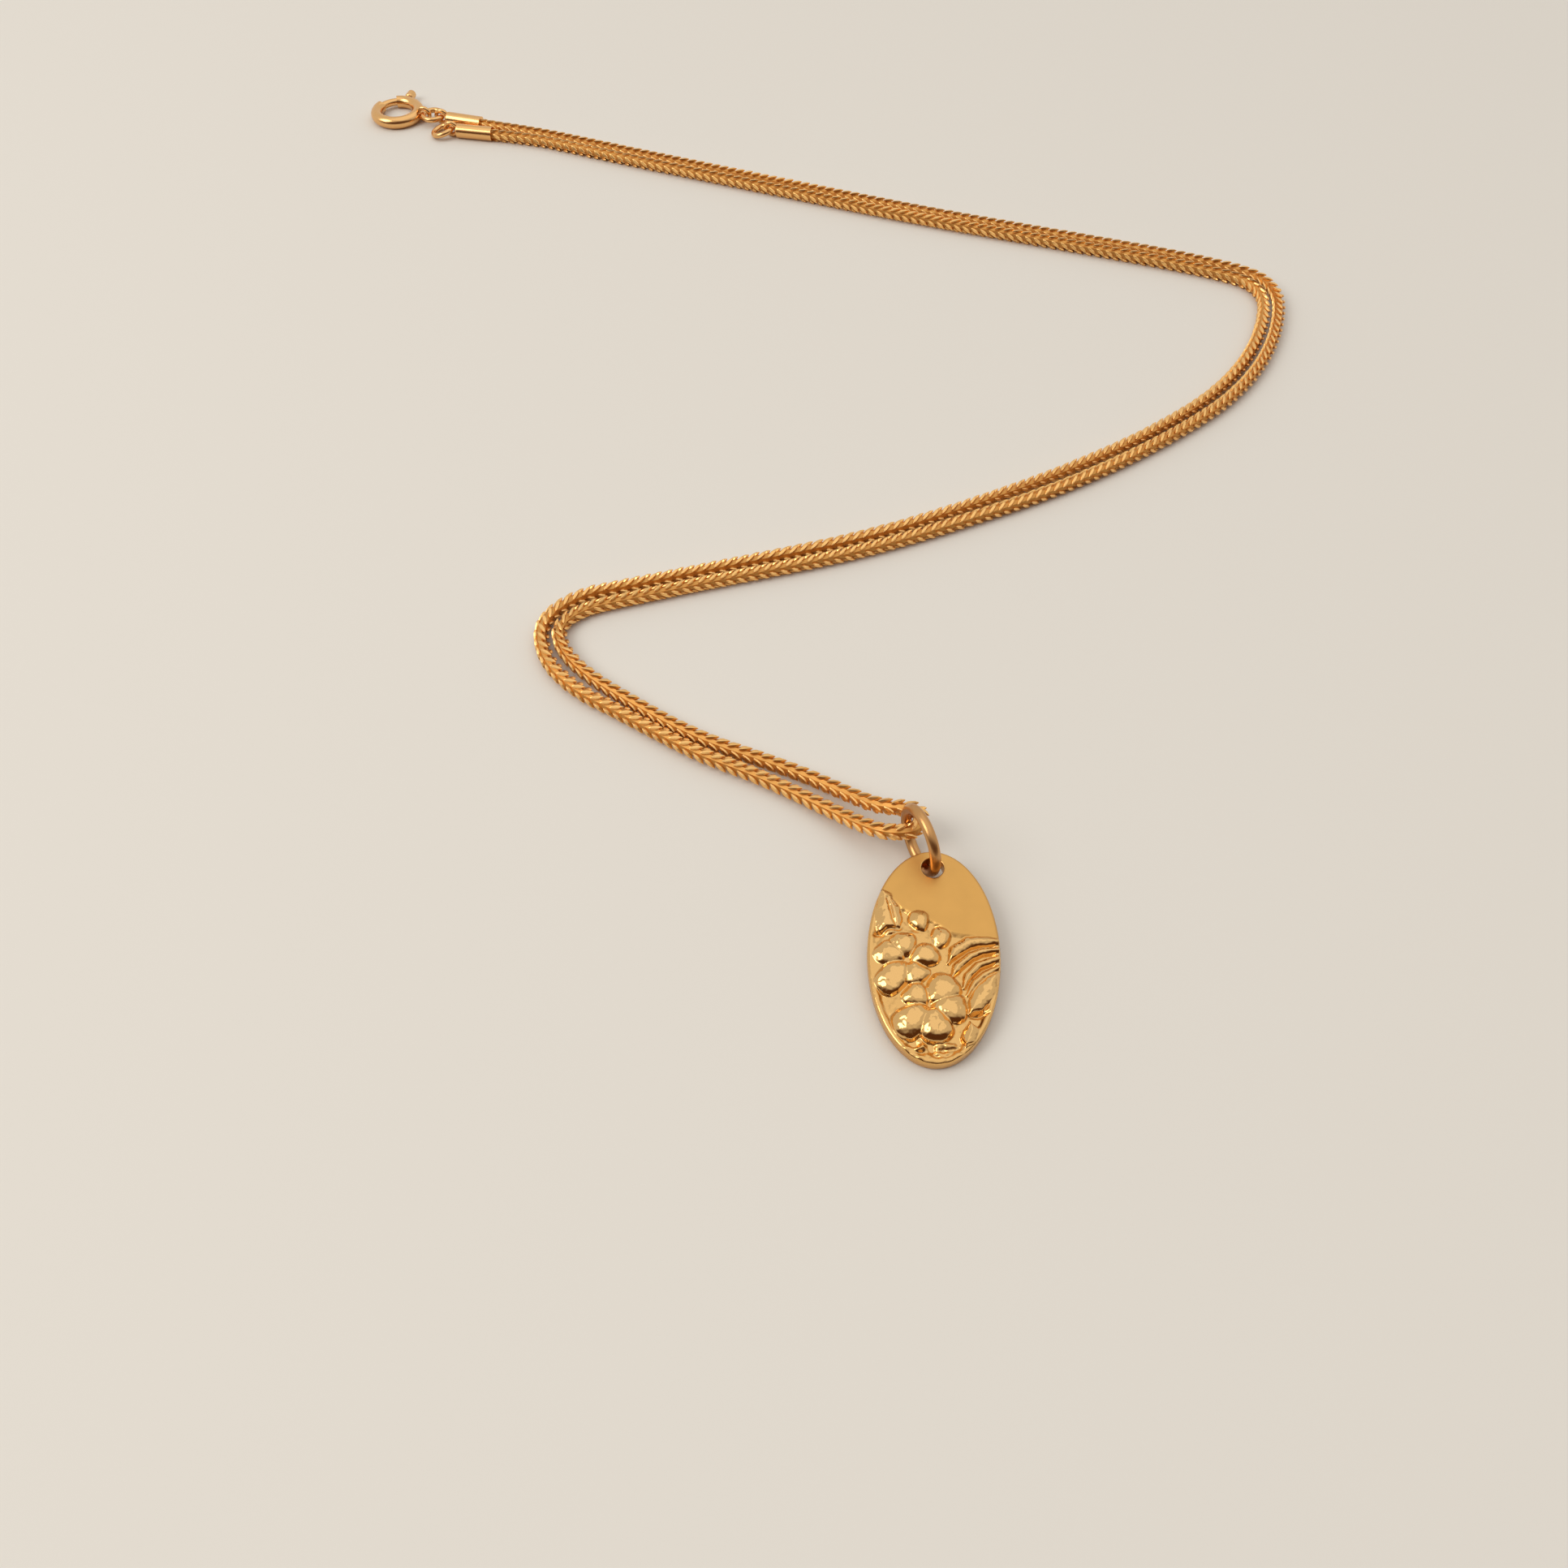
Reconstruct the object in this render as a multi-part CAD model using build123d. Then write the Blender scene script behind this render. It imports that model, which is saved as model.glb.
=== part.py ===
from build123d import *
import math
import os

# Oval relief pendant on a jump ring, hung on a doubled wheat chain that ends in a spring ring clasp.
# Millimetres. +Z is up from the table, +Y runs up the pendant from its foot to the hole.
# The origin is on the table, under the middle of the pendant and its jump ring taken together.

# ---- pendant ----
PENDANT_WIDTH = 9.1
PENDANT_LENGTH = 16.3
PENDANT_THICKNESS = 1.0
PENDANT_EDGE_ROUND = 0.22
HOLE_DIAMETER = 1.6
HOLE_TO_CENTRE = 6.75
HOLE_EDGE_ROUND = 0.06
RELIEF_RIM = 0.55
RELIEF_DEPTH = 0.22

# ---- jump ring ----
RING_WIRE = 0.8
RING_MEAN_RADIUS = 2.35
RING_YAW = 25.0            # how far the ring is turned to the left of the pendant's long axis
RING_LEAN_IN_HOLE = 30.0   # angle between the wire and the hole's axis

# ---- chain ----
CHAIN_DIAMETER = 1.2
RING_TURN_RADIUS = 0.9     # bend of the chain where it folds round the jump ring
RUN_SHARE = 0.45           # share of the shorter run that each arc takes

# ---- chain ends ----
CAP_DIAMETER = 1.5
CAP_LENGTH = 4.2
CAP_EDGE_ROUND = 0.25
EYE_WIRE = 0.46
EYE_MEAN_RADIUS = 0.67
EYE_SINK = 0.12            # how far each eye is let into the piece it is soldered to
EYE_HEIGHT = 0.92
LINK_WIRE = 0.6
LINK_MEAN_RADIUS = 1.1
END_RING_MEAN_RADIUS = 1.1

# ---- spring ring clasp ----
CLASP_MEAN_RADIUS = 2.35
CLASP_TUBE = 1.3
CLASP_WALL = 0.2
BOLT_CLEARANCE = 0.05
GAP_START = 115.0          # angles run round the clasp from the eye
GAP_ARC = 50.0
BOLT_SEAT = 3.0            # how far the closed bolt reaches into the tube past the gap
BOLT_TAIL = 80.0
BOLT_TRAVEL = 52.0
KNOB_ANGLE = 91.0
KNOB_DIAMETER = 1.0
KNOB_LENGTH = 1.3
KNOB_ROUND = 0.3
KNOB_STANDOFF = 0.12
STEM_DIAMETER = 0.34
SLOT_CLEARANCE = 0.04
SPRING_START = -40.0
SPRING_WIRE = 0.14
SPRING_CLEARANCE = 0.03

# ---- chain route, hand set: both strands start at the fold inside the jump ring ----
STRAND_A_POINTS = [
    (-0.79, 8.87, 2.40), (-0.65, 9.30, 2.40), (-1.07, 10.11, 2.40), (-2.7, 10.35, 2.2), (-4.2, 10.95, 1.7),
    (-6.1, 12.3, 1.1), (-8.8, 14.1, 0.62), (-12.4, 15.65, 0.62), (-16.0, 16.95, 0.62), (-19.6, 18.8, 0.62),
    (-23.1, 21.1, 0.62), (-26.5, 23.4, 0.62), (-29.1, 26.1, 0.62), (-30.0, 29.0, 0.62), (-28.0, 31.1, 0.62),
    (-24.6, 32.3, 0.62), (-20.2, 33.85, 0.62), (-15.6, 35.35, 0.62), (-10.6, 36.95, 0.62), (-5.2, 38.85, 0.62),
    (1.5, 41.85, 0.62), (12.2, 47.4, 0.62), (22.0, 54.2, 0.62), (30.1, 61.6, 0.62), (34.9, 70.3, 0.62),
    (36.6, 79.8, 0.62), (29.0, 83.2, 0.62), (16.0, 86.8, 0.62), (0.5, 91.0, 0.62), (-14.0, 95.8, 0.62),
    (-30.0, 101.0, 0.62), (-37.0, 103.45, 0.62), (-43.0, 105.4, 0.62), (-48.9, 106.76, 0.62),
]
STRAND_B_POINTS = [
    (-0.79, 8.87, 2.40), (-0.94, 8.44, 2.40), (-1.75, 8.02, 2.40), (-3.4, 8.15, 2.15), (-4.9, 9.1, 1.6),
    (-6.9, 10.6, 1.0), (-9.6, 12.4, 0.62), (-13.2, 14.3, 0.62), (-17.0, 15.85, 0.62), (-20.5, 17.9, 0.62),
    (-23.9, 20.0, 0.62), (-27.6, 22.1, 0.62), (-30.5, 25.2, 0.62), (-31.5, 29.3, 0.62), (-28.9, 32.5, 0.62),
    (-24.9, 33.8, 0.62), (-20.6, 35.25, 0.62), (-16.0, 36.75, 0.62), (-11.0, 38.4, 0.62), (-5.8, 40.2, 0.62),
    (0.9, 43.2, 0.62), (11.6, 49.0, 0.62), (21.2, 55.4, 0.62), (29.0, 62.6, 0.62), (33.5, 70.8, 0.62),
    (35.0, 78.9, 0.62), (28.6, 81.8, 0.62), (15.6, 85.5, 0.62), (0.1, 89.7, 0.62), (-14.4, 94.5, 0.62),
    (-30.4, 99.7, 0.62), (-37.4, 102.15, 0.62), (-42.6, 103.95, 0.62), (-47.3, 104.6, 0.62),
]

# ---- worked-out places ----
# The pendant's foot is on the table and its hole stands where the leaning ring wire passes through it.
RING_CENTRE_Z = RING_MEAN_RADIUS + RING_WIRE / 2
HOLE_Z = RING_CENTRE_Z - RING_MEAN_RADIUS * math.sin(math.radians(RING_LEAN_IN_HOLE))
FOOT_REACH = PENDANT_LENGTH / 2 - PENDANT_EDGE_ROUND    # middle of the rounded lower edge, from the centre
FOOT_DROP = PENDANT_THICKNESS / 2 - PENDANT_EDGE_ROUND
PENDANT_TILT = math.degrees(
    math.asin((HOLE_Z - PENDANT_EDGE_ROUND) / math.hypot(FOOT_REACH + HOLE_TO_CENTRE, FOOT_DROP))
    - math.atan2(FOOT_DROP, FOOT_REACH + HOLE_TO_CENTRE))
TILT_SIN = math.sin(math.radians(PENDANT_TILT))
TILT_COS = math.cos(math.radians(PENDANT_TILT))
YAW_SIN = math.sin(math.radians(RING_YAW))
YAW_COS = math.cos(math.radians(RING_YAW))
HOLE_TO_RING_CENTRE = RING_MEAN_RADIUS * math.cos(math.radians(RING_LEAN_IN_HOLE))
PENDANT_LOW_Y = FOOT_REACH * TILT_COS + FOOT_DROP * TILT_SIN + PENDANT_EDGE_ROUND
RING_FAR_Y = (HOLE_TO_CENTRE * TILT_COS + (HOLE_TO_RING_CENTRE + RING_MEAN_RADIUS) * YAW_COS + RING_WIRE / 2)
PENDANT_CENTRE = Vector(
    0, (PENDANT_LOW_Y - RING_FAR_Y) / 2, FOOT_REACH * TILT_SIN + FOOT_DROP * TILT_COS + PENDANT_EDGE_ROUND)
RING_CENTRE = Vector(
    -HOLE_TO_RING_CENTRE * YAW_SIN,
    PENDANT_CENTRE.Y + HOLE_TO_CENTRE * TILT_COS + HOLE_TO_RING_CENTRE * YAW_COS,
    RING_CENTRE_Z)

CAP_TO_EYE = CAP_LENGTH + EYE_MEAN_RADIUS - EYE_SINK
# The loose ring hangs from its eye until its far side is on the table.
END_RING_DROOP = math.degrees(math.asin((EYE_HEIGHT - LINK_WIRE / 2) / (2 * END_RING_MEAN_RADIUS)))
CLASP_CENTRE_Z = CLASP_TUBE / 2
CLASP_EYE_TO_CENTRE = EYE_MEAN_RADIUS + EYE_WIRE / 2 + CLASP_MEAN_RADIUS + CLASP_TUBE / 2 - EYE_WIRE - EYE_SINK


# ---- helpers ----
def wire_ring(mean_radius, wire):
    return Torus(mean_radius, wire / 2)


def clasp_arc(section, start, arc):
    """Sweeps a section of the clasp's tube round part of the clasp."""
    return Rot(0, 0, start) * revolve(Plane.XZ * Pos(CLASP_MEAN_RADIUS, 0) * section, Axis.Z, arc)


def dome(x, y, base_radius, height):
    """A rounded swelling that stands on the recessed ground."""
    radius = (base_radius ** 2 + height ** 2) / (2 * height)
    return Pos(x, y, GROUND_Z + height - radius) * Sphere(radius)


def blade(points, height):
    """A flat-backed leaf or petal with rounded upper edges."""
    leaf = extrude(Plane.XY.offset(GROUND_Z - RELIEF_DEPTH) * make_face(Polyline(*points, close=True)),
                   height + RELIEF_DEPTH)
    return fillet(leaf.faces().sort_by(Axis.Z)[-1].edges(), LEAF_ROUND)


def end_plane(points, height):
    """The place where a strand ends: local x goes on along the strand."""
    last, before = Vector(*points[-1]), Vector(*points[-2])
    along = Vector(last.X - before.X, last.Y - before.Y, 0).normalized()
    return Plane(origin=(last.X, last.Y, height), x_dir=along, z_dir=(0, 0, 1))


# ---- pendant ----
GROUND_Z = PENDANT_THICKNESS / 2 - RELIEF_DEPTH
LEAF_ROUND = 0.12
# x, y, radius on the ground, height
PETALS = [
    (-1.95, 0.75, 0.80, 0.55), (-3.05, 0.0, 0.75, 0.50), (-0.45, -0.25, 0.80, 0.60),
    (-2.75, -2.25, 0.85, 0.60), (-1.15, -1.75, 0.80, 0.55), (-1.85, -0.85, 0.45, 0.45),
    (-1.05, -3.45, 0.90, 0.60), (0.40, -2.65, 1.00, 0.60), (1.15, -4.15, 1.00, 0.60),
    (0.10, -5.40, 1.00, 0.65), (-1.45, -4.95, 1.05, 0.65), (-0.35, -4.15, 0.45, 0.55),
]
BUDS = [(-1.0, 2.45, 0.62, 0.50), (0.45, 1.30, 0.62, 0.50)]
LEFT_LEAF = [(-3.7, 4.85), (-2.35, 3.3), (-2.6, 2.0), (-3.9, 2.0), (-4.0, 3.4)]
SHELL_LEAVES = [
    [(1.25, 0.9), (2.4, 1.35), (3.85, 1.1), (3.75, 0.5), (2.2, 0.15), (1.35, -0.6)],
    [(1.5, -1.0), (2.5, -0.1), (3.85, 0.2), (3.85, -0.5), (2.7, -1.2), (2.0, -2.3)],
    [(2.3, -2.2), (3.0, -1.35), (3.8, -1.1), (3.6, -2.1), (3.0, -3.9), (2.5, -3.6)],
]
POINTED_LEAF = [(2.3, -5.35), (2.75, -6.0), (2.0, -6.9), (1.75, -6.3)]
FOOT_SWELL = [(0.75, -7.05, 0.35, 0.3), (-0.6, -7.1, 0.3, 0.3)]


def make_pendant():
    plate = extrude(Ellipse(PENDANT_WIDTH / 2, PENDANT_LENGTH / 2), PENDANT_THICKNESS / 2, both=True)
    plate = fillet(plate.edges(), PENDANT_EDGE_ROUND)
    well = extrude(Ellipse(PENDANT_WIDTH / 2 - RELIEF_RIM, PENDANT_LENGTH / 2 - RELIEF_RIM), PENDANT_THICKNESS)
    crest = Spline((-4.6, 5.1), (-2.3, 3.8), (0.5, 2.3), (2.2, 1.65), (4.6, 1.4))
    below = make_face(crest + Polyline((4.6, 1.4), (4.6, -8.6), (-4.6, -8.6), (-4.6, 5.1)))
    well = Pos(0, 0, GROUND_Z) * (well & extrude(below, PENDANT_THICKNESS))
    plate -= well
    for x, y, base_radius, height in PETALS + BUDS + FOOT_SWELL:
        swelling = dome(x, y, base_radius, height)
        plate += swelling & Pos(0, 0, PENDANT_THICKNESS + GROUND_Z - RELIEF_DEPTH) * Box(
            PENDANT_WIDTH, PENDANT_LENGTH, 2 * PENDANT_THICKNESS)
    for outline, height in [(LEFT_LEAF, 0.4), (POINTED_LEAF, 0.35)] + [(leaf, 0.4) for leaf in SHELL_LEAVES]:
        plate += blade(outline, height)
    hole = Pos(0, HOLE_TO_CENTRE, 0) * Cylinder(HOLE_DIAMETER / 2, 2 * PENDANT_THICKNESS)
    plate -= hole
    rims = plate.edges().filter_by(GeomType.CIRCLE).filter_by(
        lambda e: abs(e.radius - HOLE_DIAMETER / 2) < 1e-6 and abs(e.arc_center.Y - HOLE_TO_CENTRE) < 1e-6)
    plate = fillet(rims, HOLE_EDGE_ROUND)
    return Location(PENDANT_CENTRE) * Rot(PENDANT_TILT, 0, 0) * plate


def make_jump_ring():
    upright = Rot(0, 90, 0) * wire_ring(RING_MEAN_RADIUS, RING_WIRE)
    return Location(RING_CENTRE) * Rot(0, 0, RING_YAW) * upright


# ---- chain ----
def corner_radii(points):
    radii = []
    for before, corner, after in zip(points, points[1:], points[2:]):
        first, second = Vector(*corner) - Vector(*before), Vector(*after) - Vector(*corner)
        half_turn = math.radians(first.get_angle(second)) / 2
        radii.append(RUN_SHARE * min(first.length, second.length) / math.tan(half_turn))
    radii[0] = RING_TURN_RADIUS
    radii[1] = RING_TURN_RADIUS
    return radii


def make_strand(points):
    radii = corner_radii(points)
    path = FilletPolyline(*points, radius=radii)
    strand = sweep(Plane(origin=path @ 0, z_dir=path % 0) * Circle(CHAIN_DIAMETER / 2), path=path)
    expected = math.pi * CHAIN_DIAMETER ** 2 / 4 * path.length
    print("strand length %.1f volume %.2f of %.2f" % (path.length, strand.volume, expected))
    print("radii", ", ".join("%.1f" % radius for radius in radii))
    return strand


def make_end_cap(place):
    barrel = Rot(0, 90, 0) * Cylinder(CAP_DIAMETER / 2, CAP_LENGTH, align=(Align.CENTER, Align.CENTER, Align.MIN))
    barrel = fillet(barrel.edges().sort_by(Axis.X)[-1], CAP_EDGE_ROUND)
    eye = Pos(CAP_TO_EYE, 0, EYE_HEIGHT - CAP_DIAMETER / 2) * Rot(90, 0, 0) * wire_ring(EYE_MEAN_RADIUS, EYE_WIRE)
    return place.location * (barrel + eye)


def make_hooked_ring(place, mean_radius, droop):
    """A ring hooked through the eye at the end of a cap, turned down about its own wire by the droop."""
    in_eye = Pos(CAP_TO_EYE, 0, EYE_HEIGHT - CAP_DIAMETER / 2)
    return place.location * in_eye * Rot(0, droop, 0) * Pos(mean_radius, 0, 0) * wire_ring(mean_radius, LINK_WIRE)


# ---- clasp, round its own centre, with the eye towards local +x ----
def make_clasp_case():
    bore_radius = CLASP_TUBE / 2 - CLASP_WALL
    wall = Circle(CLASP_TUBE / 2) - Circle(bore_radius)
    shell = clasp_arc(wall, GAP_START + GAP_ARC, 360 - GAP_ARC)
    stem_half_angle = math.degrees((STEM_DIAMETER / 2 + SLOT_CLEARANCE) / (CLASP_MEAN_RADIUS + bore_radius))
    opening = Pos(CLASP_TUBE / 2, 0) * Rectangle(CLASP_TUBE, STEM_DIAMETER + 2 * SLOT_CLEARANCE)
    slot = clasp_arc(opening, KNOB_ANGLE - BOLT_TRAVEL - stem_half_angle, BOLT_TRAVEL + 2 * stem_half_angle)
    return shell - slot


def make_clasp_eye():
    eye = Pos(CLASP_EYE_TO_CENTRE, 0, EYE_HEIGHT - CLASP_CENTRE_Z) * Rot(90, 0, 0) * wire_ring(
        EYE_MEAN_RADIUS, EYE_WIRE)
    return eye - Torus(CLASP_MEAN_RADIUS, CLASP_TUBE / 2)


def make_clasp_bolt():
    bolt_radius = CLASP_TUBE / 2 - CLASP_WALL - BOLT_CLEARANCE
    return clasp_arc(Circle(bolt_radius), BOLT_TAIL, GAP_START + GAP_ARC + BOLT_SEAT - BOLT_TAIL)


def make_thumb_knob():
    from_centre = (Align.CENTER, Align.CENTER, Align.MIN)
    head_start = CLASP_MEAN_RADIUS + CLASP_TUBE / 2 + KNOB_STANDOFF
    head = Pos(head_start, 0, 0) * Rot(0, 90, 0) * Cylinder(KNOB_DIAMETER / 2, KNOB_LENGTH, align=from_centre)
    head = fillet(head.edges().filter_by(GeomType.CIRCLE), KNOB_ROUND)
    stem_length = head_start - CLASP_MEAN_RADIUS + KNOB_ROUND
    stem = Pos(CLASP_MEAN_RADIUS, 0, 0) * Rot(0, 90, 0) * Cylinder(STEM_DIAMETER / 2, stem_length, align=from_centre)
    bolt_radius = CLASP_TUBE / 2 - CLASP_WALL - BOLT_CLEARANCE
    return Rot(0, 0, KNOB_ANGLE) * (head + stem - Torus(CLASP_MEAN_RADIUS, bolt_radius))


def make_clasp_spring():
    """The space the coil spring behind the bolt takes up, as a sleeve."""
    outer_radius = CLASP_TUBE / 2 - CLASP_WALL - SPRING_CLEARANCE
    sleeve = Circle(outer_radius) - Circle(outer_radius - SPRING_WIRE)
    end_margin = math.degrees(SPRING_CLEARANCE / CLASP_MEAN_RADIUS)
    return clasp_arc(sleeve, SPRING_START, BOLT_TAIL - end_margin - SPRING_START)


def main():
    os.makedirs("parts", exist_ok=True)
    end_a = end_plane(STRAND_A_POINTS, CAP_DIAMETER / 2)
    end_b = end_plane(STRAND_B_POINTS, CAP_DIAMETER / 2)
    eye_to_link = 2 * LINK_MEAN_RADIUS
    clasp_x = CAP_TO_EYE + eye_to_link + CLASP_EYE_TO_CENTRE
    clasp_place = end_a.location * Pos(clasp_x, 0, CLASP_CENTRE_Z - CAP_DIAMETER / 2) * Rot(0, 0, 180)
    parts = {
        "pendant": make_pendant(),
        "jump_ring": make_jump_ring(),
        "chain_strand_a": make_strand(STRAND_A_POINTS),
        "chain_strand_b": make_strand(STRAND_B_POINTS),
        "end_cap_a": make_end_cap(end_a),
        "end_cap_b": make_end_cap(end_b),
        "clasp_link": make_hooked_ring(end_a, LINK_MEAN_RADIUS, 0),
        "end_ring": make_hooked_ring(end_b, END_RING_MEAN_RADIUS, END_RING_DROOP),
        "clasp_case": clasp_place * make_clasp_case(),
        "clasp_eye": clasp_place * make_clasp_eye(),
        "clasp_bolt": clasp_place * make_clasp_bolt(),
        "clasp_thumb_knob": clasp_place * make_thumb_knob(),
        "clasp_spring": clasp_place * make_clasp_spring(),
    }
    for name, solid in parts.items():
        export_step(solid, "parts/%s.step" % name)
    print("pendant tilt %.3f, pendant centre %s, ring centre %s" % (PENDANT_TILT, PENDANT_CENTRE, RING_CENTRE))
    for label, place in (("cap eye a", end_a), ("cap eye b", end_b)):
        print(label, (place.location * Pos(CAP_TO_EYE, 0, EYE_HEIGHT - CAP_DIAMETER / 2)).position, place.x_dir)
    print("link centre", (end_a.location * Pos(CAP_TO_EYE + LINK_MEAN_RADIUS, 0, 0)).position)
    print("clasp eye centre", (clasp_place * Pos(CLASP_EYE_TO_CENTRE, 0, EYE_HEIGHT - CLASP_CENTRE_Z)).position)
    print("clasp centre", clasp_place.position)
    for name in ("pendant", "jump_ring", "end_ring"):
        print(name, "lowest %.4f" % parts[name].bounding_box().min.Z)
    box = (parts["pendant"] + parts["jump_ring"]).bounding_box()
    print("pendant and ring box", box.min, box.max)


main()
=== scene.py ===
import math

import bmesh
import bpy
from mathutils import Matrix, Vector, noise


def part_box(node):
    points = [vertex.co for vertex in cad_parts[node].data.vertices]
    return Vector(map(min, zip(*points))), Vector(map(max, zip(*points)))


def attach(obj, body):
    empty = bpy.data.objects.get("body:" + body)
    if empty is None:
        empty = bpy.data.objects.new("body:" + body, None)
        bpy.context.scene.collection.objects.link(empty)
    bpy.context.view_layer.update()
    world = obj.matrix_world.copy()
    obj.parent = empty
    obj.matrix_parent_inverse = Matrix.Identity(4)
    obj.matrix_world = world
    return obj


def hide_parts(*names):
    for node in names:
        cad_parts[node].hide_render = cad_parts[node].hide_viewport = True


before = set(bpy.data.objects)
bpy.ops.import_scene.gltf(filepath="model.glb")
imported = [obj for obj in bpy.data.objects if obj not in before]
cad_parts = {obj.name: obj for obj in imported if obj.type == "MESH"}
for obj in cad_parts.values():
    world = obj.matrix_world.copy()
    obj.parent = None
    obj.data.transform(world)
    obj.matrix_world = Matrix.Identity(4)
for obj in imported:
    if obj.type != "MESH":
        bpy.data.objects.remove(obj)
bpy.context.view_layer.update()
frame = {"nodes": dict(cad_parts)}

MM = 0.001

# ---- pendant, the same sizes as in the solids ----
# millimetres in the pendant's own frame: u to the right, v towards the hole
PLATE_WIDTH = 9.1
PLATE_LENGTH = 16.3
PLATE_THICKNESS = 1.0
PLATE_EDGE_ROUND = 0.22
PLATE_TILT = 4.202
PLATE_CENTRE = Vector((0, -1.47848, 1.08036))
HOLE_RADIUS = 0.8
HOLE_AT = 6.75
HOLE_ROUND = 0.07
GROUND_DEPTH = 0.22
RIM_WIDTH = 0.5

# ---- jump ring and chain ----
RING_WIRE = 0.8
RING_MEAN_RADIUS = 2.35
RING_YAW = 25.0
CHAIN_CORE_RADIUS = 0.40
LINK_PITCH = 0.94
LINK_ROWS = 4
FIRST_ROW_ANGLE = 7        # round the strand, from its level side
LINK_LEAN = 33             # between a link's side and the strand
LINK_SIDE = (0.58, 0.165, 0.20)  # half length, half width and half height of one side of a link
LINK_FACET = 0.62          # share of that half height at which the outside is cut flat
LINK_OUTWARD = 0.50        # from the strand's middle to the middle of a link's side
LINK_TIP = 0.10            # how unevenly the ends of the links stand out

# the points that draw the middle of each strand, from the fold to its end cap
STRAND_A_POINTS = [
    (-0.79, 8.87, 2.40), (-0.65, 9.30, 2.40), (-1.07, 10.11, 2.40), (-2.7, 10.35, 2.2),
    (-4.2, 10.95, 1.7), (-6.1, 12.3, 1.1), (-8.8, 14.1, 0.62), (-12.4, 15.65, 0.62),
    (-16.0, 16.95, 0.62), (-19.6, 18.8, 0.62), (-23.1, 21.1, 0.62), (-26.5, 23.4, 0.62),
    (-29.1, 26.1, 0.62), (-30.0, 29.0, 0.62), (-28.0, 31.1, 0.62), (-24.6, 32.3, 0.62),
    (-20.2, 33.85, 0.62), (-15.6, 35.35, 0.62), (-10.6, 36.95, 0.62), (-5.2, 38.85, 0.62),
    (1.5, 41.85, 0.62), (12.2, 47.4, 0.62), (22.0, 54.2, 0.62), (30.1, 61.6, 0.62),
    (34.9, 70.3, 0.62), (36.6, 79.8, 0.62), (29.0, 83.2, 0.62), (16.0, 86.8, 0.62),
    (0.5, 91.0, 0.62), (-14.0, 95.8, 0.62), (-30.0, 101.0, 0.62), (-37.0, 103.45, 0.62),
    (-43.0, 105.4, 0.62), (-48.9, 106.76, 0.62),
]
STRAND_B_POINTS = [
    (-0.79, 8.87, 2.40), (-0.94, 8.44, 2.40), (-1.75, 8.02, 2.40), (-3.4, 8.15, 2.15),
    (-4.9, 9.1, 1.6), (-6.9, 10.6, 1.0), (-9.6, 12.4, 0.62), (-13.2, 14.3, 0.62),
    (-17.0, 15.85, 0.62), (-20.5, 17.9, 0.62), (-23.9, 20.0, 0.62), (-27.6, 22.1, 0.62),
    (-30.5, 25.2, 0.62), (-31.5, 29.3, 0.62), (-28.9, 32.5, 0.62), (-24.9, 33.8, 0.62),
    (-20.6, 35.25, 0.62), (-16.0, 36.75, 0.62), (-11.0, 38.4, 0.62), (-5.8, 40.2, 0.62),
    (0.9, 43.2, 0.62), (11.6, 49.0, 0.62), (21.2, 55.4, 0.62), (29.0, 62.6, 0.62),
    (33.5, 70.8, 0.62), (35.0, 78.9, 0.62), (28.6, 81.8, 0.62), (15.6, 85.5, 0.62),
    (0.1, 89.7, 0.62), (-14.4, 94.5, 0.62), (-30.4, 99.7, 0.62), (-37.4, 102.15, 0.62),
    (-42.6, 103.95, 0.62), (-47.3, 104.6, 0.62),
]

# ---- camera, floor and light ----
CAMERA_PLACE = (-8.03, -56.74, 90.5)  # millimetres; the room's own sizes are in metres
CAMERA_TILT = 38
CAMERA_TURN = 2.3
CAMERA_LENS = 34.94
SENSOR_WIDTH = 36
PAPER_HALF_SIDE = 2.0
PAPER_COLOUR = (0.80, 0.765, 0.70)
ROOM_DARK = (0.10, 0.042, 0.018)
ROOM_PALE = (0.72, 0.70, 0.675)
TOWARDS_PALE = (-0.12, 0.80, 0.60)
DARK_ENDS = 0.34           # share of the way from the dark side of the room to the pale side
PALE_STARTS = 0.56


def set_camera():
    camera = bpy.data.cameras.new("camera")
    camera.sensor_width = SENSOR_WIDTH
    camera.lens = CAMERA_LENS
    camera.clip_start = 0.001
    camera.clip_end = 20
    stand = bpy.data.objects.new("camera", camera)
    stand.location = Vector(CAMERA_PLACE) * MM
    stand.rotation_euler = (math.radians(CAMERA_TILT), 0, math.radians(CAMERA_TURN))
    bpy.context.collection.objects.link(stand)
    bpy.context.scene.camera = stand


def lay_floor():
    sheet = bmesh.new()
    bmesh.ops.create_grid(sheet, x_segments=1, y_segments=1, size=PAPER_HALF_SIDE)
    mesh = bpy.data.meshes.new("paper")
    sheet.to_mesh(mesh)
    sheet.free()
    paper = bpy.data.objects.new("paper", mesh)
    bpy.context.collection.objects.link(paper)
    matt = bpy.data.materials.new("warm white paper")
    matt.use_nodes = True
    shader = matt.node_tree.nodes["Principled BSDF"]
    shader.inputs["Base Color"].default_value = (*PAPER_COLOUR, 1)
    shader.inputs["Roughness"].default_value = 0.9
    shader.inputs["Specular IOR Level"].default_value = 0.1
    mesh.materials.append(matt)


def soft_box(name, place, aim, width, height, power, tint):
    """A flat lamp of that size in metres, which stands at the place and looks at the aim."""
    lamp = bpy.data.lights.new(name, "AREA")
    lamp.shape = "RECTANGLE"
    lamp.size = width
    lamp.size_y = height
    lamp.energy = power
    lamp.color = tint
    holder = bpy.data.objects.new(name, lamp)
    holder.location = place
    holder.rotation_euler = (Vector(aim) - Vector(place)).to_track_quat("-Z", "Y").to_euler()
    bpy.context.collection.objects.link(holder)


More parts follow.
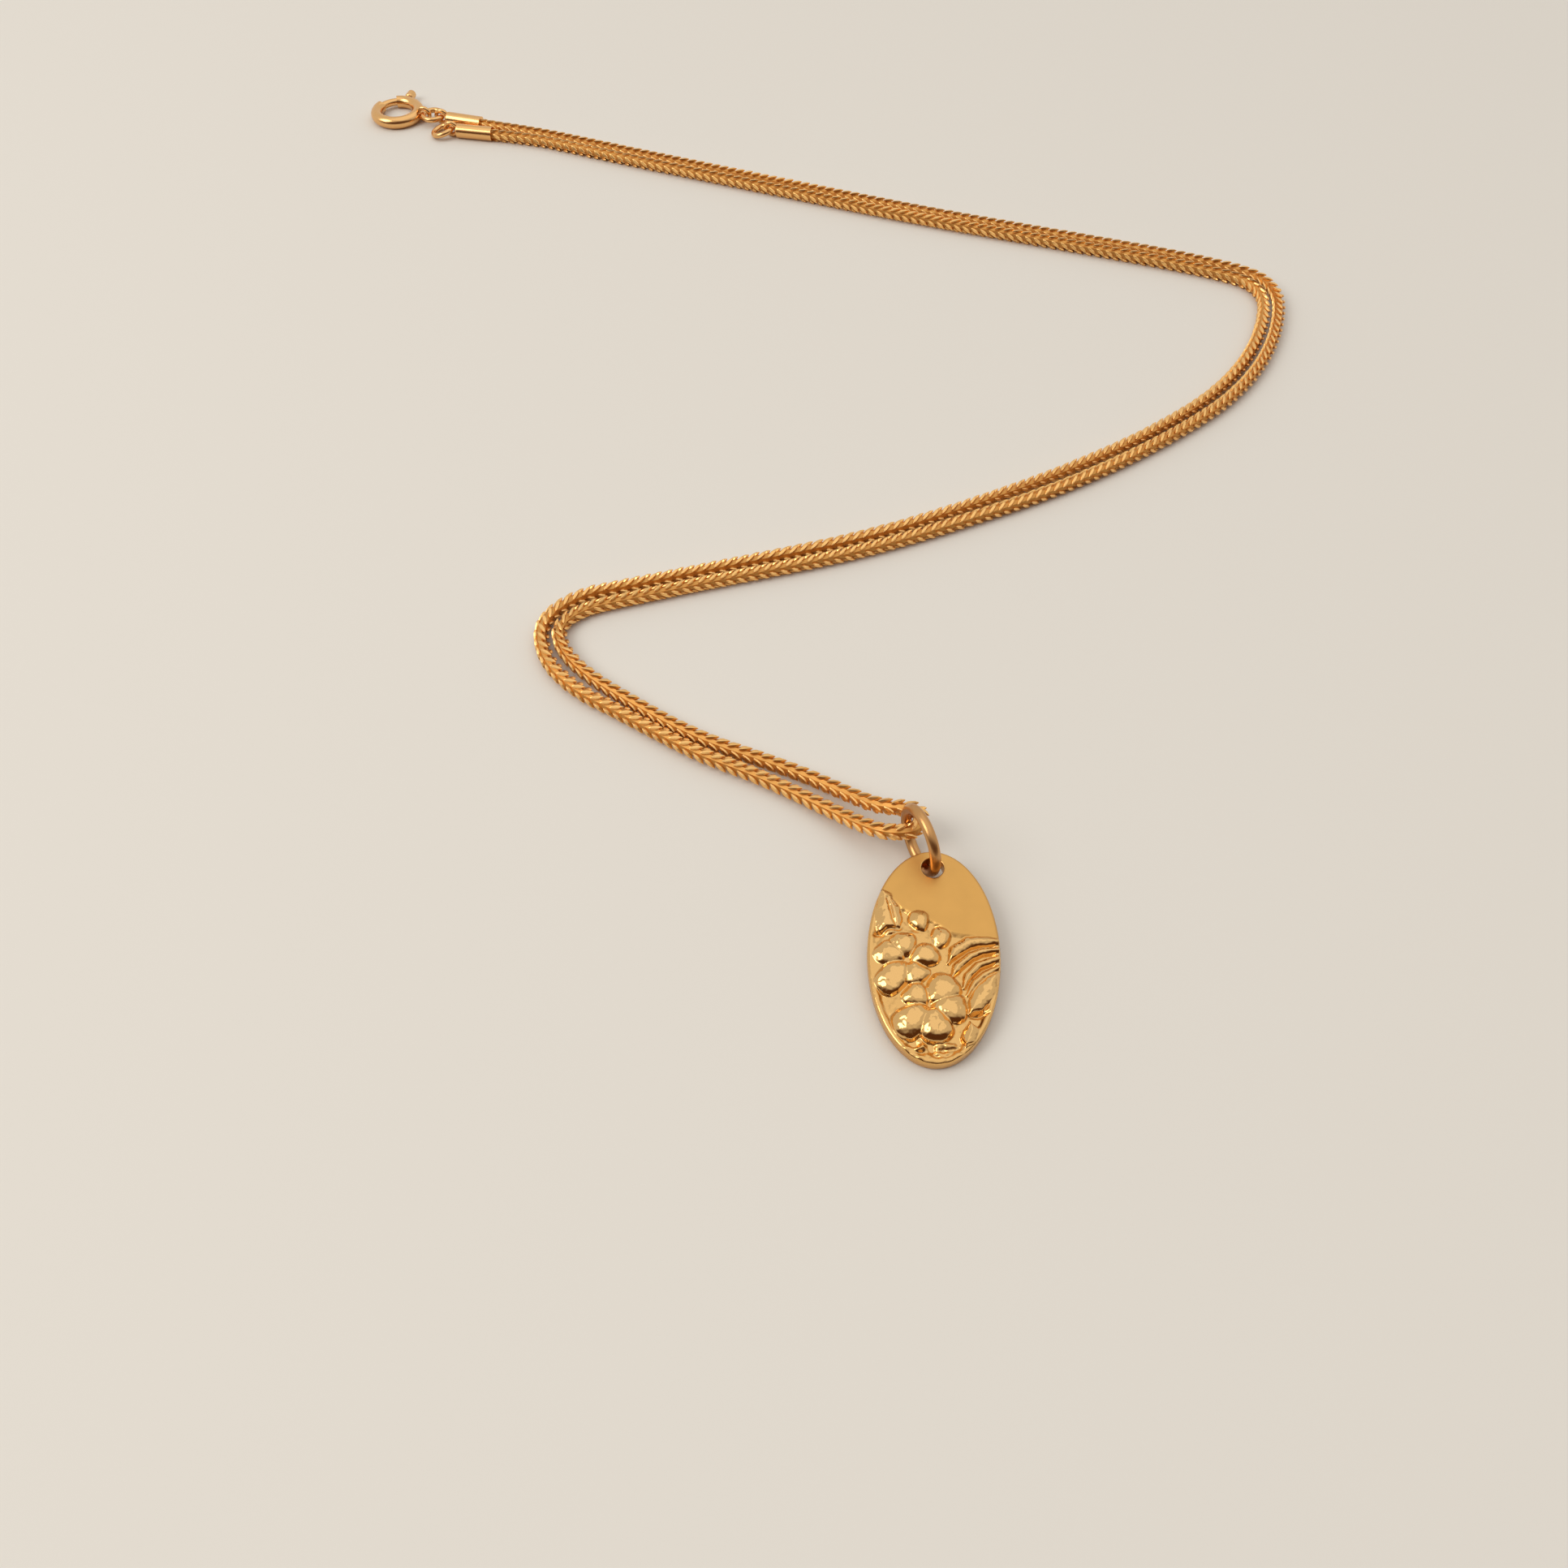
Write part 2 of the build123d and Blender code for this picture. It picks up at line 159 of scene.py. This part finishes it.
def paint_room():
    """A pale room that is dark low down on the near side, which the metal reflects."""
    world = bpy.data.worlds.new("room")
    bpy.context.scene.world = world
    world.use_nodes = True
    nodes, links = world.node_tree.nodes, world.node_tree.links
    nodes.clear()
    out = nodes.new("ShaderNodeOutputWorld")
    sky = nodes.new("ShaderNodeBackground")
    where = nodes.new("ShaderNodeTexCoord")
    facing = nodes.new("ShaderNodeVectorMath")
    facing.operation = "DOT_PRODUCT"
    facing.inputs[1].default_value = Vector(TOWARDS_PALE).normalized()
    shift = nodes.new("ShaderNodeMapRange")
    shift.inputs["From Min"].default_value = -1.0
    shift.inputs["From Max"].default_value = 1.0
    ramp = nodes.new("ShaderNodeValToRGB")
    ramp.color_ramp.interpolation = "EASE"
    ends = ((DARK_ENDS, ROOM_DARK), (PALE_STARTS, ROOM_PALE))
    for stop, (position, colour) in zip(ramp.color_ramp.elements, ends):
        stop.position = position
        stop.color = (*colour, 1)
    links.new(where.outputs["Generated"], facing.inputs[0])
    links.new(facing.outputs["Value"], shift.inputs["Value"])
    links.new(shift.outputs["Result"], ramp.inputs["Fac"])
    links.new(ramp.outputs["Color"], sky.inputs["Color"])
    links.new(sky.outputs["Background"], out.inputs["Surface"])


set_camera()
lay_floor()
paint_room()
soft_box("window", place=(-0.42, -0.10, 0.42), aim=(0, 0.03, 0), width=0.34, height=0.34,
         power=1.2, tint=(1.0, 0.975, 0.94))
soft_box("ceiling", place=(0.10, 0.20, 0.70), aim=(0, 0.04, 0), width=0.9, height=0.9,
         power=0.78, tint=(1.0, 0.985, 0.96))
bpy.context.scene.view_settings.view_transform = "Standard"


# ---- finishes ----
def gold(name, colour, roughness, mottle=0.0, mottle_size=0.8):
    """Metal, with clouds of the mottle's size in millimetres in its colour."""
    metal = bpy.data.materials.new(name)
    metal.use_nodes = True
    nodes, links = metal.node_tree.nodes, metal.node_tree.links
    shader = nodes["Principled BSDF"]
    shader.inputs["Metallic"].default_value = 1.0
    shader.inputs["Roughness"].default_value = roughness
    shader.inputs["Base Color"].default_value = (*colour, 1)
    if mottle:
        where = nodes.new("ShaderNodeTexCoord")
        cloud = nodes.new("ShaderNodeTexNoise")
        cloud.inputs["Scale"].default_value = 1 / (mottle_size * MM)
        cloud.inputs["Detail"].default_value = 3
        tint = nodes.new("ShaderNodeMix")
        tint.data_type = "RGBA"
        tint.inputs["A"].default_value = (*[c * (1 - mottle) for c in colour], 1)
        tint.inputs["B"].default_value = (*[min(1, c * (1 + mottle)) for c in colour], 1)
        links.new(where.outputs["Object"], cloud.inputs["Vector"])
        links.new(cloud.outputs["Fac"], tint.inputs["Factor"])
        links.new(tint.outputs["Result"], shader.inputs["Base Color"])
    return metal


def polish_and_paint_sheen_by(metal, shine_map, shine, painted_sheen_colour):
    """Takes a mottled metal to the shine where a point attribute says so, and paints a brighter
    colour there as a painted sheen.
    """
    nodes, links = metal.node_tree.nodes, metal.node_tree.links
    shader = nodes["Principled BSDF"]
    mottled = shader.inputs["Base Color"].links[0].from_socket
    amount = nodes.new("ShaderNodeAttribute")
    amount.attribute_name = shine_map
    level = nodes.new("ShaderNodeMapRange")
    level.inputs["To Min"].default_value = shader.inputs["Roughness"].default_value
    level.inputs["To Max"].default_value = shine
    links.new(amount.outputs["Fac"], level.inputs["Value"])
    links.new(level.outputs["Result"], shader.inputs["Roughness"])
    # painted sheen: a brighter gold mixed in where the attribute is high
    blend = nodes.new("ShaderNodeMix")
    blend.data_type = "RGBA"
    blend.inputs["B"].default_value = (*painted_sheen_colour, 1)
    links.new(amount.outputs["Fac"], blend.inputs["Factor"])
    links.new(mottled, blend.inputs["A"])
    links.new(blend.outputs["Result"], shader.inputs["Base Color"])


PENDANT_GOLD = gold("pendant gold", (0.70, 0.385, 0.11), 0.38, mottle=0.07, mottle_size=1.6)
# the polished relief also takes a brighter gold, which is painted sheen
polish_and_paint_sheen_by(PENDANT_GOLD, "polish_and_sheen", shine=0.11, painted_sheen_colour=(0.82, 0.50, 0.19))
RING_GOLD = gold("jump ring gold", (0.62, 0.33, 0.125), 0.30, mottle=0.04)
CHAIN_GOLD = gold("chain gold", (0.99, 0.57, 0.205), 0.30, mottle=0.08, mottle_size=1.2)
# painted shade: a darker gold for the chain's core, where the wires deep between the links lie in
# shade
CHAIN_GAP_SHADE = gold("painted shade between the links", (0.70, 0.36, 0.10), 0.50)
FINDINGS_GOLD = gold("findings gold", (0.86, 0.50, 0.20), 0.22)
SPRING_STEEL = gold("spring steel", (0.55, 0.53, 0.50), 0.25)


# ---- helpers ----
def smoothstep(low, high, x):
    t = min(1.0, max(0.0, (x - low) / (high - low)))
    return t * t * (3 - 2 * t)


def finish_piece(name, shape, metal, body, smooth=True):
    """Makes a piece of a bmesh that is in millimetres, in the row frame."""
    bmesh.ops.scale(shape, vec=(MM, MM, MM), verts=shape.verts)
    mesh = bpy.data.meshes.new(name)
    shape.to_mesh(mesh)
    shape.free()
    if smooth:
        for face in mesh.polygons:
            face.use_smooth = True
    mesh.materials.append(metal)
    piece = bpy.data.objects.new(name, mesh)
    bpy.context.collection.objects.link(piece)
    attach(piece, body)
    return piece


def lengths_along(line):
    """Length of each stretch of a line of points, seen from above."""
    return [math.dist(p[:2], q[:2]) for p, q in zip(line, line[1:])]


def along_line(line, u, v):
    """How far a place is from a line of points, and its share of the way along it."""
    nearest, share = math.inf, 0.0
    lengths = lengths_along(line)
    total, run = sum(lengths), 0.0
    for p, q, length in zip(line, line[1:], lengths):
        t = ((u - p[0]) * (q[0] - p[0]) + (v - p[1]) * (q[1] - p[1])) / length ** 2
        t = min(1.0, max(0.0, t))
        gap = math.hypot(u - p[0] - t * (q[0] - p[0]), v - p[1] - t * (q[1] - p[1]))
        if gap < nearest:
            nearest, share = gap, (run + t * length) / total
        run += length
    return nearest, share


def width_at(line, share):
    """Half width of a lobe at a share of the way along its middle line."""
    lengths = lengths_along(line)
    at, run = share * sum(lengths), 0.0
    for p, q, length in zip(line, line[1:], lengths):
        if at <= run + length:
            return p[2] + (q[2] - p[2]) * smoothstep(0, 1, (at - run) / length)
        run += length
    return line[-1][2]


def ripple(u, v, u_rate, v_rate, layer):
    """Smooth unevenness over the pendant's face, a different one in each layer."""
    return noise.noise(Vector((u * u_rate, v * v_rate, layer)))


# ---- pendant relief ----
SWELL_HEIGHT = 0.22        # how far the ground rises under the flowers
SWELL_NEAR = 1.8           # from a flower's middle, where the rise is whole
SWELL_FAR = 3.3            # and where it ends
FOOT_LUMPS = 0.42          # height of the rough lumps at the foot of the plate
FLOWER_DIP = 0.30          # share of the height that is lost at a flower's middle
PETAL_START = 0.08         # from a flower's middle to the near end of each petal
GROUND_POLISH_AND_SHEEN = 0.62       # polish round the petals, where 1 is the most; it sets the share of painted sheen colour too
FACE_GRID = (150, 262)     # steps across and along each face

# u, v of each flower's middle, then the direction, reach, half width and height of its petals
FLOWERS = [
    ((-1.82, -0.62), [
        (105, 2.25, 0.98, 0.72), (160, 2.42, 0.98, 0.66), (18, 2.22, 0.98, 0.76),
        (234, 3.00, 1.12, 0.80), (-60, 2.10, 0.98, 0.70)]),
    ((-0.36, -4.00), [
        (140, 2.15, 0.96, 0.70), (54, 2.85, 1.16, 0.78), (-5, 2.62, 1.12, 0.82),
        (224, 3.00, 1.22, 0.98), (-76, 2.85, 1.22, 0.98)]),
]
# middle u and v, half width, half length, turn and height of each bud
BUDS = [(-0.98, 2.44, 0.74, 0.88, 14, 0.54), (0.46, 1.20, 0.70, 0.96, -14, 0.50)]
# a line of (u, v, half width) down the middle of each lobe, its height, how sharp its ridge is
LOBES = [
    ([(-3.72, 4.98, 0.02), (-3.35, 4.2, 0.60), (-3.20, 3.2, 0.96), (-3.15, 2.5, 1.02),
      (-3.15, 2.1, 0.92)], 0.52, 0.4),
    ([(0.95, -0.75, 0.12), (1.50, 0.25, 0.48), (2.40, 0.90, 0.50), (3.4, 1.02, 0.44),
      (4.40, 1.00, 0.34)], 0.46, 0.5),
    ([(1.15, -1.90, 0.14), (1.62, -0.95, 0.36), (2.50, -0.15, 0.36), (3.3, 0.22, 0.32),
      (4.40, 0.36, 0.28)], 0.44, 0.5),
    ([(1.95, -2.60, 0.14), (2.30, -1.65, 0.32), (3.0, -0.85, 0.34), (4.40, -0.28, 0.32)],
     0.44, 0.5),
    ([(2.20, -3.10, 0.14), (2.75, -2.15, 0.30), (3.45, -1.50, 0.30), (4.40, -0.95, 0.26)],
     0.42, 0.5),
    ([(2.30, -4.50, 0.16), (2.75, -3.80, 0.62), (3.30, -2.90, 0.78), (3.80, -2.10, 0.58),
      (4.25, -1.45, 0.20)], 0.54, 0.5),
    ([(2.28, -4.95, 0.03), (2.42, -5.65, 0.58), (2.18, -6.30, 0.56), (1.95, -6.98, 0.10)],
     0.54, 0.9),
]
# a line of (u, v), depth and half width of each cut
CUTS = [
    ([(-3.20, 4.10), (-2.95, 3.20), (-2.80, 2.50), (-2.55, 1.95)], 0.20, 0.11),
    ([(-4.05, 1.30), (-3.60, 1.35), (-3.20, 1.70), (-2.35, 1.82)], 0.24, 0.15),
    ([(2.35, -4.62), (2.90, -4.58), (3.60, -4.25)], 0.20, 0.12),
]
# the line under the plain satin field
CREST = [
    (-4.6, 5.2), (-3.7, 4.9), (-2.9, 4.35), (-2.2, 3.5), (-1.4, 3.15), (-0.4, 2.75),
    (0.5, 2.2), (1.2, 1.75), (1.9, 1.58), (2.8, 1.5), (4.6, 1.15),
]


def crest_height(u):
    """Where the plain field ends, going down from the hole."""
    for (u0, v0), (u1, v1) in zip(CREST, CREST[1:]):
        if u <= u1:
            return v0 + (v1 - v0) * (u - u0) / (u1 - u0)
    return CREST[-1][1]


def dome_rise(u, v, dome, number):
    """Height of a petal or a bud, an uneven dome that is steepest at its edge."""
    middle_u, middle_v, half_width, half_length, turn, height = dome
    angle = math.radians(turn)
    du, dv = u - middle_u, v - middle_v
    along = (-du * math.sin(angle) + dv * math.cos(angle)) / half_length
    egg_width = half_width * (1 + 0.28 * max(-1, min(1, along)))
    across = (du * math.cos(angle) + dv * math.sin(angle)) / egg_width
    reach = math.hypot(across, along)
    if reach >= 1.25:
        return 0.0
    way = Vector((across, along, 0)) / max(reach, 0.05)
    reach *= 1 + 0.13 * ripple(way.x, way.y, 1.3, 1.3, number * 3.7)
    if reach >= 1:
        return 0.0
    return height * (1 - reach ** 2.3) ** 0.55 * (1 + 0.08 * across)


def petal_domes():
    """The petals as domes that start at the middle of their flower, then the buds."""
    domes = []
    for (middle_u, middle_v), petals in FLOWERS:
        for direction, reach, half_width, height in petals:
            turn = math.radians(direction)
            away = reach / 2 + PETAL_START / 2
            domes.append((middle_u + away * math.cos(turn), middle_v + away * math.sin(turn),
                          half_width, reach / 2 - PETAL_START / 2, direction - 90, height))
    return domes + BUDS


DOMES = petal_domes()


def lobe_rise(u, v, line, height, ridge):
    """Height of a leaf or a stem, which has a ridge down its middle."""
    gap, share = along_line(line, u, v)
    width = width_at(line, share)
    reach = gap / max(width, 1e-6)
    if reach >= 1:
        return 0.0
    round_top = (1 - reach ** 2) ** 0.5
    sharp_top = 1 - reach
    top = round_top * (1 - ridge * 0.5) + sharp_top * ridge * 0.5
    return height * top * min(1.0, 0.35 + width / 0.45)


def edge_gap(u, v):
    """How far a place is inside the plate's outline."""
    a, b = PLATE_WIDTH / 2, PLATE_LENGTH / 2
    reach = math.hypot(u / a, v / b)
    if reach < 0.3:
        return 2.0
    slope = math.hypot(u / a ** 2, v / b ** 2) / reach
    return max(0.0, (1 - reach) / slope)


def edge_fall(gap):
    """Drop of the rounded edge below the face."""
    if gap >= PLATE_EDGE_ROUND:
        return 0.0
    return PLATE_EDGE_ROUND - math.sqrt(PLATE_EDGE_ROUND ** 2 - (PLATE_EDGE_ROUND - gap) ** 2)


def ground_height(u, v, below, inside):
    """Height of the ground round the petals: sunk, rough, and lumpy at the foot."""
    ground = PLATE_THICKNESS / 2 - GROUND_DEPTH * below * inside
    to_flower = min(math.dist((u, v), middle) for middle, petals in FLOWERS)
    ground += SWELL_HEIGHT * smoothstep(SWELL_FAR, SWELL_NEAR, to_flower) * inside * below
    rough = ripple(u, v, 3.1, 3.1, 0.0) * 0.035 + ripple(u, v, 6.0, 6.0, 5.0) * 0.008
    foot = smoothstep(-6.2, -6.9, v) * smoothstep(2.6, 1.7, abs(u + 0.1))
    lumps = foot * FOOT_LUMPS * max(0.0, 0.25 + ripple(u, v, 1.7, 2.6, 9.0))
    return ground + (rough + lumps) * below * (0.3 + 0.7 * inside)


def relief(u, v):
    """Height of the pendant's face over its mid plane, and how polished it is there, which also
    sets how much painted sheen colour it gets.
    """
    gap = edge_gap(u, v)
    wander = 0.06 * ripple(u, v, 2.2, 2.2, 3.0)
    below = smoothstep(-0.06, 0.42, crest_height(u) - v + wander)
    inside = smoothstep(RIM_WIDTH * 0.55, RIM_WIDTH * 1.25, gap + 0.5 * wander)
    height = ground_height(u, v, below, inside)
    polish_and_sheen = GROUND_POLISH_AND_SHEEN * below
    rises = [dome_rise(u, v, dome, number) for number, dome in enumerate(DOMES)]
    rises += [lobe_rise(u, v, line, tall, ridge) for line, tall, ridge in LOBES]
    rise = max(rises)
    if rise > 0:
        dip = sum(FLOWER_DIP * math.exp(-((u - middle_u) ** 2 + (v - middle_v) ** 2) / 0.10)
                  for (middle_u, middle_v), petals in FLOWERS)
        dimple = 0.05 * ripple(u, v, 1.9, 1.9, 7.0) + 0.02 * ripple(u, v, 5, 5, 2.0)
        sunk_face = PLATE_THICKNESS / 2 - GROUND_DEPTH
        height = max(height, sunk_face + rise * (1 - dip) + dimple * min(1, rise * 4))
        polish_and_sheen = below * (0.45 + 0.55 * smoothstep(0.05, 0.25, rise))
    for line, depth, half_width in CUTS:
        away, share = along_line(line, u, v)
        taper = math.sin(math.pi * (0.12 + 0.76 * share)) ** 0.5
        height -= depth * math.exp(-(away / half_width) ** 2) * taper
    return height - edge_fall(gap), polish_and_sheen


def round_grid(shape, across, along):
    """A grid pressed into an ellipse the size of the plate."""
    made = bmesh.ops.create_grid(shape, x_segments=across, y_segments=along, size=1.0)["verts"]
    for vert in made:
        x, y = vert.co.x, vert.co.y
        vert.co = Vector((x * math.sqrt(1 - y * y / 2) * PLATE_WIDTH / 2,
                          y * math.sqrt(1 - x * x / 2) * PLATE_LENGTH / 2, 0))
    return made


def open_hole(shape, verts):
    """Takes out what lies in the hole and draws the cut edge onto a circle."""
    middle = Vector((0, HOLE_AT, 0))
    outer = HOLE_RADIUS + HOLE_ROUND
    in_hole = [vert for vert in verts if (vert.co - middle).length < outer]
    bmesh.ops.delete(shape, geom=in_hole, context="VERTS")
    kept = [vert for vert in verts if vert.is_valid]
    for vert in kept:
        away = vert.co - middle
        if vert.is_boundary and away.length < outer + 0.5:
            vert.co = middle + away.normalized() * outer
    return kept


def open_edges(shape, verts, round_hole):
    """The open edges of one side of the plate, those round the hole or those round the plate."""
    middle = Vector((0, HOLE_AT, 0))
    members = set(verts)
    found = []
    for edge in shape.edges:
        if edge.is_boundary and edge.verts[0] in members and edge.verts[1] in members:
            from_hole = (Vector(edge.verts[0].co.xy).to_3d() - middle).length
            if (from_hole < HOLE_RADIUS + 0.4) == round_hole:
                found.append(edge)
    return found


def round_into_hole(shape, loop, sign, polish_and_sheen):
    """Rounds the hole's edge on the front (1) or the back (-1), and gives the innermost loop."""
    middle = Vector((0, HOLE_AT, 0))
    for step in (1, 2, 3):
        turn = math.radians(30 * step)
        grown = bmesh.ops.extrude_edge_only(shape, edges=loop)["geom"]
        loop = [e for e in grown if isinstance(e, bmesh.types.BMEdge) and e.is_boundary]
        for vert in {v for e in loop for v in e.verts}:
            away = Vector((vert.co.x, vert.co.y, 0)) - middle
            radius = HOLE_RADIUS + HOLE_ROUND * (1 - math.sin(turn))
            vert.co = middle + away.normalized() * radius
            vert.co.z = sign * (PLATE_THICKNESS / 2 - HOLE_ROUND * (1 - math.cos(turn)))
            # half polish on the hole's wall, and half the painted sheen colour
            vert[polish_and_sheen] = 0.5
    return loop


def make_pendant():
    shape = bmesh.new()
    polish_and_sheen = shape.verts.layers.float.new("polish_and_sheen")
    front = open_hole(shape, round_grid(shape, *FACE_GRID))
    for vert in front:
        vert.co.z, vert[polish_and_sheen] = relief(vert.co.x, vert.co.y)
    back = open_hole(shape, round_grid(shape, *FACE_GRID))
    for vert in back:
        vert.co.z = -PLATE_THICKNESS / 2 + edge_fall(edge_gap(vert.co.x, vert.co.y))
    for vert in {v for e in open_edges(shape, front, False) for v in e.verts}:
        if edge_gap(vert.co.x, vert.co.y) < 0.01:
            vert.co.z = PLATE_THICKNESS / 2 - PLATE_EDGE_ROUND
    back_verts = set(back)
    bmesh.ops.reverse_faces(shape, faces=[f for f in shape.faces if f.verts[0] in back_verts])
    rim = open_edges(shape, front, False) + open_edges(shape, back, False)
    bmesh.ops.bridge_loops(shape, edges=rim)
    wall = round_into_hole(shape, open_edges(shape, front, True), 1, polish_and_sheen)
    wall += round_into_hole(shape, open_edges(shape, back, True), -1, polish_and_sheen)
    bmesh.ops.bridge_loops(shape, edges=wall)
    bmesh.ops.recalc_face_normals(shape, faces=shape.faces)
    place = Matrix.Translation(PLATE_CENTRE) @ Matrix.Rotation(math.radians(PLATE_TILT), 4, "X")
    bmesh.ops.transform(shape, matrix=place, verts=shape.verts)
    piece = finish_piece("oval_pendant", shape, PENDANT_GOLD, "pendant_body")
    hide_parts("pendant")


# ---- jump ring ----
def add_ring(shape, mean_radius, wire, place, steps, around):
    """A closed ring of round wire about the place's own z axis."""
    section_place = (place @ Matrix.Translation((mean_radius, 0, 0))
                     @ Matrix.Rotation(math.pi / 2, 4, "X"))
    section = bmesh.ops.create_circle(
        shape, segments=around, radius=wire / 2, matrix=section_place)["verts"]
    edges = list({e for v in section for e in v.link_edges})
    axis = (place.to_3x3() @ Vector((0, 0, 1))).normalized()
    bmesh.ops.spin(shape, geom=section + edges, cent=place.translation, axis=axis,
                   angle=2 * math.pi, steps=steps, use_merge=True)


def make_jump_ring():
    low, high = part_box("jump_ring")
    centre = (Vector(low) + Vector(high)) / 2 / MM
    place = (Matrix.Translation(centre) @ Matrix.Rotation(math.radians(RING_YAW), 4, "Z")
             @ Matrix.Rotation(math.pi / 2, 4, "Y"))
    shape = bmesh.new()
    add_ring(shape, RING_MEAN_RADIUS, RING_WIRE, place, steps=128, around=32)
    bmesh.ops.recalc_face_normals(shape, faces=shape.faces)
    piece = finish_piece("jump_ring_wire", shape, RING_GOLD, "jump_ring_body")
    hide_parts("jump_ring")


# ---- chain ----
def strand_line(name, points):
    """The line down the middle of a strand, as closely spaced points in millimetres."""
    curve = bpy.data.curves.new(name, "CURVE")
    curve.dimensions = "3D"
    curve.resolution_u = 14
    spline = curve.splines.new("NURBS")
    spline.points.add(len(points) - 1)
    for place, point in zip(spline.points, points):
        place.co = (*[c * MM for c in point], 1)
    spline.order_u = 3
    spline.use_endpoint_u = True
    holder = bpy.data.objects.new(name, curve)
    mesh = bpy.data.meshes.new_from_object(holder)
    line = [mesh.vertices[0].co / MM]
    line = [mesh.vertices[0].co / MM]
    for vert in mesh.vertices:
        if (vert.co / MM - line[-1]).length > 0.01:
            line.append(vert.co / MM)
    bpy.data.meshes.remove(mesh)
    bpy.data.objects.remove(holder)
    bpy.data.curves.remove(curve)
    return line


def turned_to(x_way, y_way, z_way, place):
    """The matrix that lays a shape's own x, y and z along three ways, at a place."""
    turn = Matrix((x_way, y_way, z_way)).transposed().to_4x4()
    turn.translation = place
    return turn


def ways_across(ahead):
    """The level way across a line, and the way that is square to both."""
    side = Vector((0, 0, 1)).cross(ahead).normalized()
    return side, ahead.cross(side)


def link_side():
    """One side of a link: a pointed grain of wire along x, cut flat on its outside, which is up."""
    grain = bmesh.new()
    bmesh.ops.create_uvsphere(grain, u_segments=8, v_segments=6, radius=1.0,
                              matrix=Matrix.Rotation(math.pi / 2, 4, "Y"))
    for vert in grain.verts:
        pinch = (1 - vert.co.x ** 2) ** 0.25 if abs(vert.co.x) < 1 else 0
        vert.co.y *= pinch
        vert.co.z = min(vert.co.z * pinch, LINK_FACET)
    bmesh.ops.scale(grain, vec=LINK_SIDE, verts=grain.verts)
    mesh = bpy.data.meshes.new("grain")
    grain.to_mesh(mesh)
    grain.free()
    return mesh


def core_tube(line):
    """The middle of the chain, which closes the gaps between links; its darker gold is painted
    shade for the wires deep inside.
    """
    tube = bmesh.new()
    last_loop = None
    for i, point in enumerate(line):
        ahead = (line[min(i + 1, len(line) - 1)] - line[max(i - 1, 0)]).normalized()
        side, up = ways_across(ahead)
        ring = bmesh.ops.create_circle(
            tube, segments=8, radius=CHAIN_CORE_RADIUS, matrix=turned_to(side, up, ahead, point),
            cap_ends=i in (0, len(line) - 1))["verts"]
        loop = list({e for v in ring for e in v.link_edges})
        if last_loop:
            bmesh.ops.bridge_loops(tube, edges=last_loop + loop)
        last_loop = loop
    bmesh.ops.recalc_face_normals(tube, faces=tube.faces)
    mesh = bpy.data.meshes.new("core")
    tube.to_mesh(mesh)
    tube.free()
    return mesh


def place_on(line, lengths, at):
    """Point and direction at a distance along the line."""
    low, high = 0, len(lengths) - 1
    while high - low > 1:
        middle = (low + high) // 2
        if lengths[middle] <= at:
            low = middle
        else:
            high = middle
    share = (at - lengths[low]) / (lengths[high] - lengths[low])
    return line[low].lerp(line[high], share), (line[high] - line[low]).normalized()


def link_turn(point, ahead, at, number, row, twist_phase):
    """Where one side of a link lies, in its row round the strand, which twists a little."""
    side, up = ways_across(ahead)
    twist = (0.16 * math.sin(at / 11 + twist_phase)
             + 0.08 * math.sin(at / 4.3 + 2 * twist_phase))
    azimuth = math.radians(FIRST_ROW_ANGLE + 90 * row) + twist
    outward = side * math.cos(azimuth) + up * math.sin(azimuth)
    round_way = -side * math.sin(azimuth) + up * math.cos(azimuth)
    lean = math.radians(LINK_LEAN) * (-1 if row % 2 == 0 else 1)
    long_way = -ahead * math.cos(lean) + round_way * math.sin(lean)
    unevenness = noise.noise(Vector((at * 0.7, row, twist_phase)))
    tip = LINK_TIP * (1 if (number + row) % 2 else -1) * unevenness
    long_way = (long_way + outward * tip).normalized()
    cross_way = outward.cross(long_way).normalized()
    out_way = long_way.cross(cross_way)
    return turned_to(long_way, cross_way, out_way, point + outward * LINK_OUTWARD)


def make_strand(name, node, points, twist_phase):
    line = strand_line(name, points)
    lengths = [0.0]
    for p, q in zip(line, line[1:]):
        lengths.append(lengths[-1] + (q - p).length)
    total = lengths[-1]
    shape = bmesh.new()
    core = core_tube(line)
    shape.from_mesh(core)
    bpy.data.meshes.remove(core)
    for face in shape.faces:
        # the core takes the second slot, the darker gold of painted shade
        face.material_index = 1
    grain = link_side()
    count = int(total / LINK_PITCH)
    pitch = total / count
    for i in range(count):
        for row in range(LINK_ROWS):
            at = (i + 0.5 + (0.25 if row % 2 else -0.25)) * pitch
            point, ahead = place_on(line, lengths, at)
            start = len(shape.verts)
            shape.from_mesh(grain)
            shape.verts.ensure_lookup_table()
            bmesh.ops.transform(shape, matrix=link_turn(point, ahead, at, i, row, twist_phase),
                                verts=shape.verts[start:])
    bpy.data.meshes.remove(grain)
    piece = finish_piece(name, shape, CHAIN_GOLD, "chain", smooth=False)
    # second slot: the darker gold that paints the shade between the links
    piece.data.materials.append(CHAIN_GAP_SHADE)
    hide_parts(node)


def paint_findings():
    """The clasp, the caps and the rings keep their solids and take a gold finish."""
    nodes = frame["nodes"]
    for name in ("end_cap_a", "end_cap_b", "clasp_link", "end_ring", "clasp_case", "clasp_eye",
                 "clasp_bolt", "clasp_thumb_knob"):
        for slot in nodes[name].material_slots:
            slot.material = FINDINGS_GOLD
    for slot in nodes["clasp_spring"].material_slots:
        slot.material = SPRING_STEEL


paint_findings()
make_strand("chain_a_links", "chain_strand_a", STRAND_A_POINTS, 0.6)
make_strand("chain_b_links", "chain_strand_b", STRAND_B_POINTS, 2.4)
make_jump_ring()
make_pendant()
